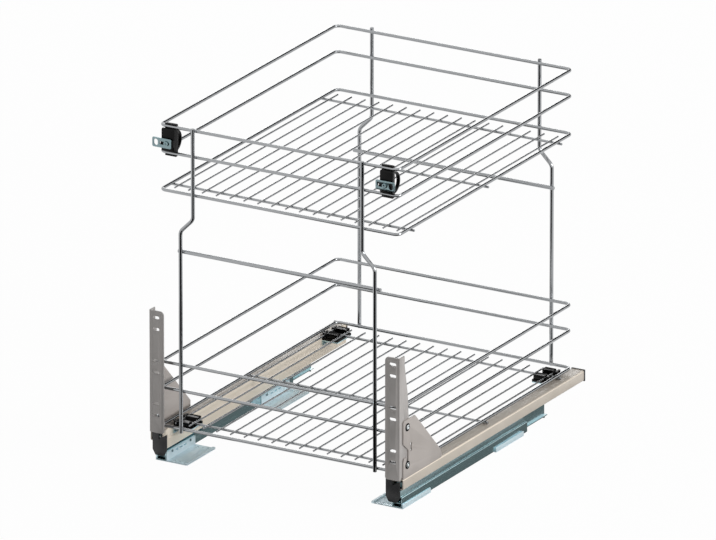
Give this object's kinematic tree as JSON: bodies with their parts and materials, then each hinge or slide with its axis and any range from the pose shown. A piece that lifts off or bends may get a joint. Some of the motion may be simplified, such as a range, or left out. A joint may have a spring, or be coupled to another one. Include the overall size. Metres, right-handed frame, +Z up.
{
  "type": "pull out cabinet basket",
  "caption": "Two tier chrome wire basket on full extension floor runners, with slotted brackets and clips for a cabinet door.",
  "frame": {"origin": "on the cabinet floor, under the middle of the closed part's bounding box", "axes": "+X is the width to the right, +Y points into the cabinet, so the door is at -Y, and +Z is up"},
  "size_m": [0.4052, 0.5144, 0.4955],
  "materials": {
    "chrome_wire": "bright chrome plated steel wire",
    "champagne_paint": "satin champagne paint on pressed steel",
    "grey_paint": "satin grey paint on pressed steel",
    "zinc_steel": "blue passivated zinc plated steel",
    "black_plastic": "moulded black plastic",
    "white_nylon": "natural nylon"
  },
  "bodies": {
    "cabinet": {"cabinet_rail_left": "zinc_steel", "cabinet_rail_right": "zinc_steel", "front_foot_left": "zinc_steel", "front_foot_right": "zinc_steel", "rear_foot_left": "zinc_steel", "rear_foot_right": "zinc_steel", "foot_rivets": "zinc_steel"},
    "middle_left": {"middle_rail_left": "zinc_steel", "lower_glide_left": "white_nylon"},
    "lower_cage_left": {"lower_roller_cage_left": "zinc_steel", "lower_rollers_left": "white_nylon"},
    "upper_cage_left": {"upper_roller_cage_left": "zinc_steel", "upper_rollers_left": "white_nylon"},
    "middle_right": {"middle_rail_right": "zinc_steel", "lower_glide_right": "white_nylon"},
    "lower_cage_right": {"lower_roller_cage_right": "zinc_steel", "lower_rollers_right": "white_nylon"},
    "upper_cage_right": {"upper_roller_cage_right": "zinc_steel", "upper_rollers_right": "white_nylon"},
    "carriage": {"basket_rail_left": "champagne_paint", "basket_rail_right": "champagne_paint", "front_cap_left": "black_plastic", "front_cap_right": "black_plastic", "rear_cap_left": "black_plastic", "rear_cap_right": "black_plastic", "upper_glide_left": "white_nylon", "upper_glide_right": "white_nylon", "gusset_left": "champagne_paint", "gusset_right": "champagne_paint", "top_clip_left": "black_plastic", "top_clip_right": "black_plastic", "clip_tabs": "zinc_steel", "clip_rivets": "zinc_steel", "basket_clips": "black_plastic", "gusset_rivets": "zinc_steel", "bracket_screws": "zinc_steel", "clamp_screws": "zinc_steel", "upper_top_rail": "chrome_wire", "upper_mid_rail": "chrome_wire", "upper_floor_rail": "chrome_wire", "upper_cross_wires": "chrome_wire", "upper_floor_wires": "chrome_wire", "lower_top_rail": "chrome_wire", "lower_mid_rail": "chrome_wire", "lower_floor_rail": "chrome_wire", "lower_cross_wires": "chrome_wire", "lower_floor_wires": "chrome_wire", "front_upright_left": "chrome_wire", "front_upright_right": "chrome_wire", "rear_upright_left": "chrome_wire", "rear_upright_right": "chrome_wire", "front_crossbar": "chrome_wire", "rear_crossbar": "chrome_wire"},
    "bracket_left": {"door_bracket_left": "grey_paint"},
    "plate_left": {"door_plate_left": "zinc_steel"},
    "bracket_right": {"door_bracket_right": "grey_paint"},
    "plate_right": {"door_plate_right": "zinc_steel"}
  },
  "joints": [
    {"name": "basket_slide", "type": "slide", "parent": "cabinet", "child": "carriage", "axis": [0, -1, 0], "range_m": [0, 0.45]},
    {"name": "middle_slide_left", "type": "slide", "parent": "cabinet", "child": "middle_left", "axis": [0, -1, 0], "range_m": [0, 0.225]},
    {"name": "lower_cage_slide_left", "type": "slide", "parent": "cabinet", "child": "lower_cage_left", "axis": [0, -1, 0], "range_m": [0, 0.1125]},
    {"name": "upper_cage_slide_left", "type": "slide", "parent": "cabinet", "child": "upper_cage_left", "axis": [0, -1, 0], "range_m": [0, 0.3375]},
    {"name": "middle_slide_right", "type": "slide", "parent": "cabinet", "child": "middle_right", "axis": [0, -1, 0], "range_m": [0, 0.225]},
    {"name": "lower_cage_slide_right", "type": "slide", "parent": "cabinet", "child": "lower_cage_right", "axis": [0, -1, 0], "range_m": [0, 0.1125]},
    {"name": "upper_cage_slide_right", "type": "slide", "parent": "cabinet", "child": "upper_cage_right", "axis": [0, -1, 0], "range_m": [0, 0.3375]},
    {"name": "bracket_tilt_left", "type": "hinge", "parent": "carriage", "child": "bracket_left", "pos_m": [-0.1979, -0.2392, 0.0644], "axis": [1, 0, 0], "range_deg": [-1.5, 1.5]},
    {"name": "bracket_tilt_right", "type": "hinge", "parent": "carriage", "child": "bracket_right", "pos_m": [0.1979, -0.2392, 0.0644], "axis": [1, 0, 0], "range_deg": [-1.5, 1.5]},
    {"name": "plate_slide_left", "type": "slide", "parent": "carriage", "child": "plate_left", "axis": [-1, 0, 0], "range_m": [-0.0084, 0.002]},
    {"name": "plate_slide_right", "type": "slide", "parent": "carriage", "child": "plate_right", "axis": [1, 0, 0], "range_m": [-0.002, 0.0084]}
  ],
  "couplings": [
    {"joint": "middle_slide_left", "follows": "basket_slide", "ratio": 0.5},
    {"joint": "lower_cage_slide_left", "follows": "basket_slide", "ratio": 0.25},
    {"joint": "upper_cage_slide_left", "follows": "basket_slide", "ratio": 0.75},
    {"joint": "middle_slide_right", "follows": "basket_slide", "ratio": 0.5},
    {"joint": "lower_cage_slide_right", "follows": "basket_slide", "ratio": 0.25},
    {"joint": "upper_cage_slide_right", "follows": "basket_slide", "ratio": 0.75}
  ]
}
